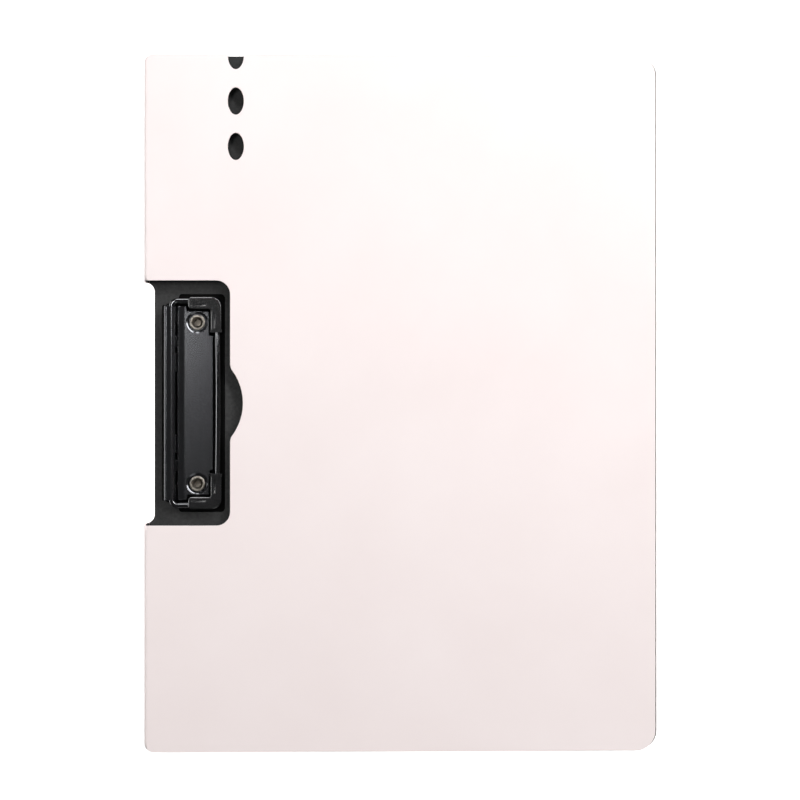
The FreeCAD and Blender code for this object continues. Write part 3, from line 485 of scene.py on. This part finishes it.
def make_spring(side, sign):
    """A torsion spring round the pin, wound between its two legs."""
    pivot = joint_point("clip_open")
    coil, pitch, turns = 1.7 * MM, 0.95 * MM, 8 + 110 / 360
    start_angle = math.radians(35)
    start_y = 14.5 * MM                     # where the coil starts, from the middle
    first_leg, last_leg = 3.6 * MM, 3.2 * MM
    leg_steps, steps_per_turn = 4, 40
    wire_radius, end_round = 0.4 * MM, 0.08 * MM

    def on_coil(turn):
        angle = start_angle - turn * 2 * math.pi
        return Vector((coil * math.cos(angle), start_y + pitch * turn, coil * math.sin(angle)))

    def heading(turn):
        return (on_coil(turn + 0.001) - on_coil(turn - 0.001)).normalized()

    steps = round(turns * steps_per_turn)
    line = [on_coil(turns * step / steps) for step in range(steps + 1)]
    first = line[0] - heading(0) * first_leg
    last = line[-1] + heading(turns) * last_leg
    points = [first.lerp(line[0], share / leg_steps) for share in range(leg_steps)] + line
    points += [line[-1].lerp(last, share / leg_steps) for share in range(1, leg_steps + 1)]
    points = [pivot + Vector((point.x, sign * point.y, point.z)) for point in points]
    spring = mesh_object(f"torsion_spring_{side}_wound",
                         lambda grid: sweep(grid, points, wire_radius, sides=16, end_round=end_round))
    finish_piece(spring, "spring_steel")
    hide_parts(f"torsion_spring_{side}")
    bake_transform(spring)


for side, sign in SIDES:
    make_spring(side, sign)


# ---------------------------------------------------------------- crease webs

def corner_end(x, spine_face, folder_end):
    """Y where the folder's rounded corner ends, at a given X."""
    inside = SPINE_CORNER - min(max(x - spine_face, 0), SPINE_CORNER)
    return folder_end - SPINE_CORNER + math.sqrt(SPINE_CORNER ** 2 - inside ** 2)


def skin_grid(grid, top, bottom):
    """Close two layers of vertices, each a list of rows, into a thin sheet."""
    rows, columns = len(top) - 1, len(top[0]) - 1
    for layer in (top, bottom):
        for row in range(rows):
            for column in range(columns):
                grid.faces.new((layer[row][column], layer[row][column + 1],
                                layer[row + 1][column + 1], layer[row + 1][column]))
    for row in range(rows):
        for column in (0, columns):
            grid.faces.new((top[row][column], top[row + 1][column],
                            bottom[row + 1][column], bottom[row][column]))
    for column in range(columns):
        for row in (0, rows):
            grid.faces.new((top[row][column], top[row][column + 1],
                            bottom[row][column + 1], bottom[row][column]))


def make_web(node, axis_point, start_dir, end_dir, sign, near):
    """Thin bent strip between two stiff skins, as a grid laid round its crease axis."""
    half = start_dir.angle(end_dir) / 2
    bend = CREASE_GAP * math.tan(half)
    centre = axis_point + (start_dir + end_dir).normalized() * (CREASE_GAP / math.cos(half))
    begin = axis_point + start_dir * CREASE_GAP - centre
    turn = math.pi - 2 * half
    spin_axis = start_dir.cross(end_dir).normalized()
    rows, columns = 14, 40

    def make_layer(grid, offset):
        layer = []
        for row in range(rows + 1):
            ray = Matrix.Rotation(-turn * row / rows, 3, spin_axis) @ begin
            place = centre + ray.normalized() * (bend + offset)
            far = corner_end(place.x, cad_low.x, cad_high.y)
            line = [near + (far - near) * column / columns for column in range(columns + 1)]
            layer.append([grid.verts.new((place.x, sign * y, place.z)) for y in line])
        return layer

    web = mesh_object(f"{node}_web", lambda grid: skin_grid(grid, make_layer(grid, WEB / 2),
                                                            make_layer(grid, -WEB / 2)))
    finish_piece(web, "cover_plastic")
    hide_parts(node)
    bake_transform(web)


cover_way = Vector((math.cos(COVER_TILT), 0, -math.sin(COVER_TILT)))
back_low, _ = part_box("back_crease_upper")
front_low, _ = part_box("front_crease_upper")
for side, sign in SIDES:
    make_web(f"back_crease_{side}", joint_point("spine_fold"), RIGHT, UP, sign, back_low.y)
    make_web(f"front_crease_{side}", joint_point("cover_fold"), DOWN, cover_way, sign, front_low.y)


# ---------------------------------------------------------------- floor, light and camera

CLIP = Vector((-90 * MM, 0, 0))          # middle of the clip, where most lamps aim
WORLD_LIGHT = 0.05
KEY_DISTANCE = 1.25
KEY_PANELS = ((20, 40.5), (43, 39), (66, 37.5))     # azimuth and elevation from the clip, in degrees
CAMERA_RISE = 0.8013                     # above the closed cover's spine edge
CAMERA_OFFSET = (-0.5 * MM, 1.4 * MM)    # from the folder's middle


def make_white_paper(name, cloud_size, dark, pale, glow):
    """Matt paper with an even glow of its own, which keeps it white under any light."""
    paper = Surface(name, 0.9, specular=0.1)
    paper.colour(paper.ramp(paper.noise(cloud_size), (0.2, grey(dark)), (0.8, grey(pale))))
    paper.set("Emission Color", (1, 1, 1, 1))
    paper.set("Emission Strength", glow)
    return paper.material


def make_floor():
    """White floor, low enough to clear the cover when it is folded round behind the board."""
    mesh = bpy.data.meshes.new("floor")
    reach, level = 15.0, -FOLDED_COVER
    mesh.from_pydata([(-reach, -reach, level), (reach, -reach, level), (reach, reach, level),
                      (-reach, reach, level)], [], [(0, 1, 2, 3)])
    floor = bpy.data.objects.new("floor", mesh)
    bpy.context.scene.collection.objects.link(floor)
    mesh.materials.append(make_white_paper("floor_white", 0.4, 0.93, 0.95, 0.75))


def make_backdrop():
    """Pale wall far round the object, seen above the floor's edge in low views."""
    reach, height, sides = 12.0, 6.0, 64

    def build(grid):
        bridge(grid, [[grid.verts.new((reach * cosine, reach * sine, z))
                       for cosine, sine in circle(sides)] for z in (-FOLDED_COVER, height)],
               caps=False)

    wall = mesh_object("backdrop", build)
    wall.data.materials.append(make_white_paper("backdrop_white", 2.0, 0.02, 0.03, 0.78))
    wall.visible_diffuse = False
    wall.visible_glossy = False
    wall.visible_shadow = False


def make_softbox(name, place, aim, wide, tall, power):
    """A rectangular lamp that the camera doesn't see."""
    light = bpy.data.lights.new(name, "AREA")
    light.shape = "RECTANGLE"
    light.size = wide
    light.size_y = tall
    light.energy = power
    lamp = bpy.data.objects.new(name, light)
    lamp.location = place
    lamp.rotation_euler = (Vector(aim) - Vector(place)).to_track_quat("-Z", "Y").to_euler()
    lamp.visible_camera = False
    bpy.context.scene.collection.objects.link(lamp)


def make_key_panel(azimuth, elevation):
    """One panel of the key light, which curves round the clip from its upper right."""
    flat = math.cos(elevation)
    way = Vector((flat * math.cos(azimuth), flat * math.sin(azimuth), math.sin(elevation)))
    make_softbox("key", CLIP + way * KEY_DISTANCE, CLIP, wide=0.44, tall=0.16, power=4.6)


def make_lamps():
    """The key, a lamp high on the upper left, and three weaker lamps lower down."""
    for azimuth, elevation in KEY_PANELS:
        make_key_panel(math.radians(azimuth), math.radians(elevation))
    make_softbox("top_left", (-0.43, 0.29, 1.3), (-0.43, 0.29, 0), wide=0.2, tall=0.44, power=5.6)
    make_softbox("left", (-1.235, 0, 0.496), CLIP, wide=0.3, tall=0.2, power=1.5)
    make_softbox("behind", (-0.258, 1.08, 0.65), CLIP, wide=0.3, tall=0.3, power=2.4)
    make_softbox("front", (0.25, -1.05, 0.9), (0, 0, 0), wide=0.6, tall=0.6, power=1.5)


def make_world():
    """Weak even light from all round."""
    world = bpy.data.worlds.new("studio")
    bpy.context.scene.world = world
    world.use_nodes = True
    background = world.node_tree.nodes["Background"]
    background.inputs["Color"].default_value = (1.0, 1.0, 1.0, 1.0)
    background.inputs["Strength"].default_value = WORLD_LIGHT


def make_camera():
    """Straight down over the folder's middle."""
    camera = bpy.data.cameras.new("camera")
    camera.lens = 80
    camera.sensor_width = 36
    camera.clip_start = 0.01
    eye = bpy.data.objects.new("camera", camera)
    spine_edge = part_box("front_skin")[1].z
    eye.location = (*CAMERA_OFFSET, spine_edge + CAMERA_RISE)
    bpy.context.scene.collection.objects.link(eye)
    bpy.context.scene.camera = eye


make_floor()
make_backdrop()
make_world()
make_lamps()
make_camera()
bpy.context.scene.view_settings.view_transform = "Standard"
